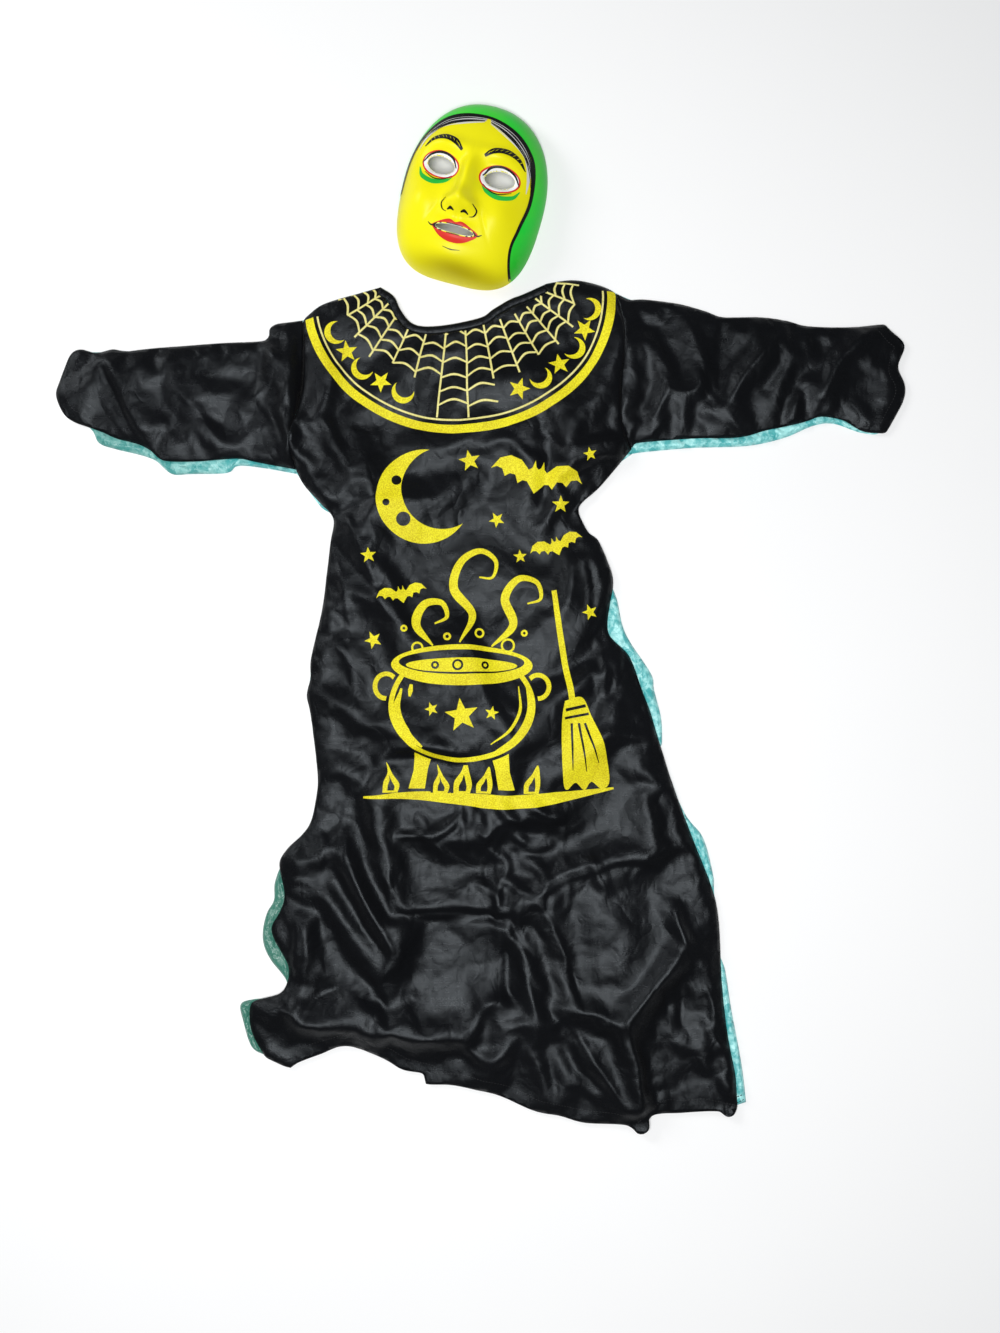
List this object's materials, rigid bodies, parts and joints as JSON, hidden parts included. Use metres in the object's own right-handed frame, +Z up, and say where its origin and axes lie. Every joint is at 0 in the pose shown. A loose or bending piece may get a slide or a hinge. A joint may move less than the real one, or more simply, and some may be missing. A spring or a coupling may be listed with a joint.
{
  "type": "witch costume",
  "caption": "Child's long witch gown laid flat with its sleeves out, black in front and teal behind, and a moulded face mask above the neck.",
  "frame": {"origin": "centre of the costume's outline, on the surface that it lies on", "axes": "+Y from the hem towards the neck and the mask, +Z up, away from the surface, +X towards the right sleeve as seen from above"},
  "size_m": [0.9748, 1.1808, 0.0701],
  "materials": {
    "black_cloth": "black taffeta with a cool grey sheen",
    "teal_cloth": "teal satin",
    "mask_plastic": "thin moulded plastic, painted yellow and green"
  },
  "bodies": {
    "root": {"front_panel": "black_cloth", "neck_binding": "black_cloth", "left_sleeve_front": "black_cloth", "right_sleeve_front": "black_cloth", "back_left": "teal_cloth", "back_right": "teal_cloth", "left_sleeve_back": "teal_cloth", "right_sleeve_back": "teal_cloth", "face_mask": "mask_plastic"}
  },
  "joints": []
}
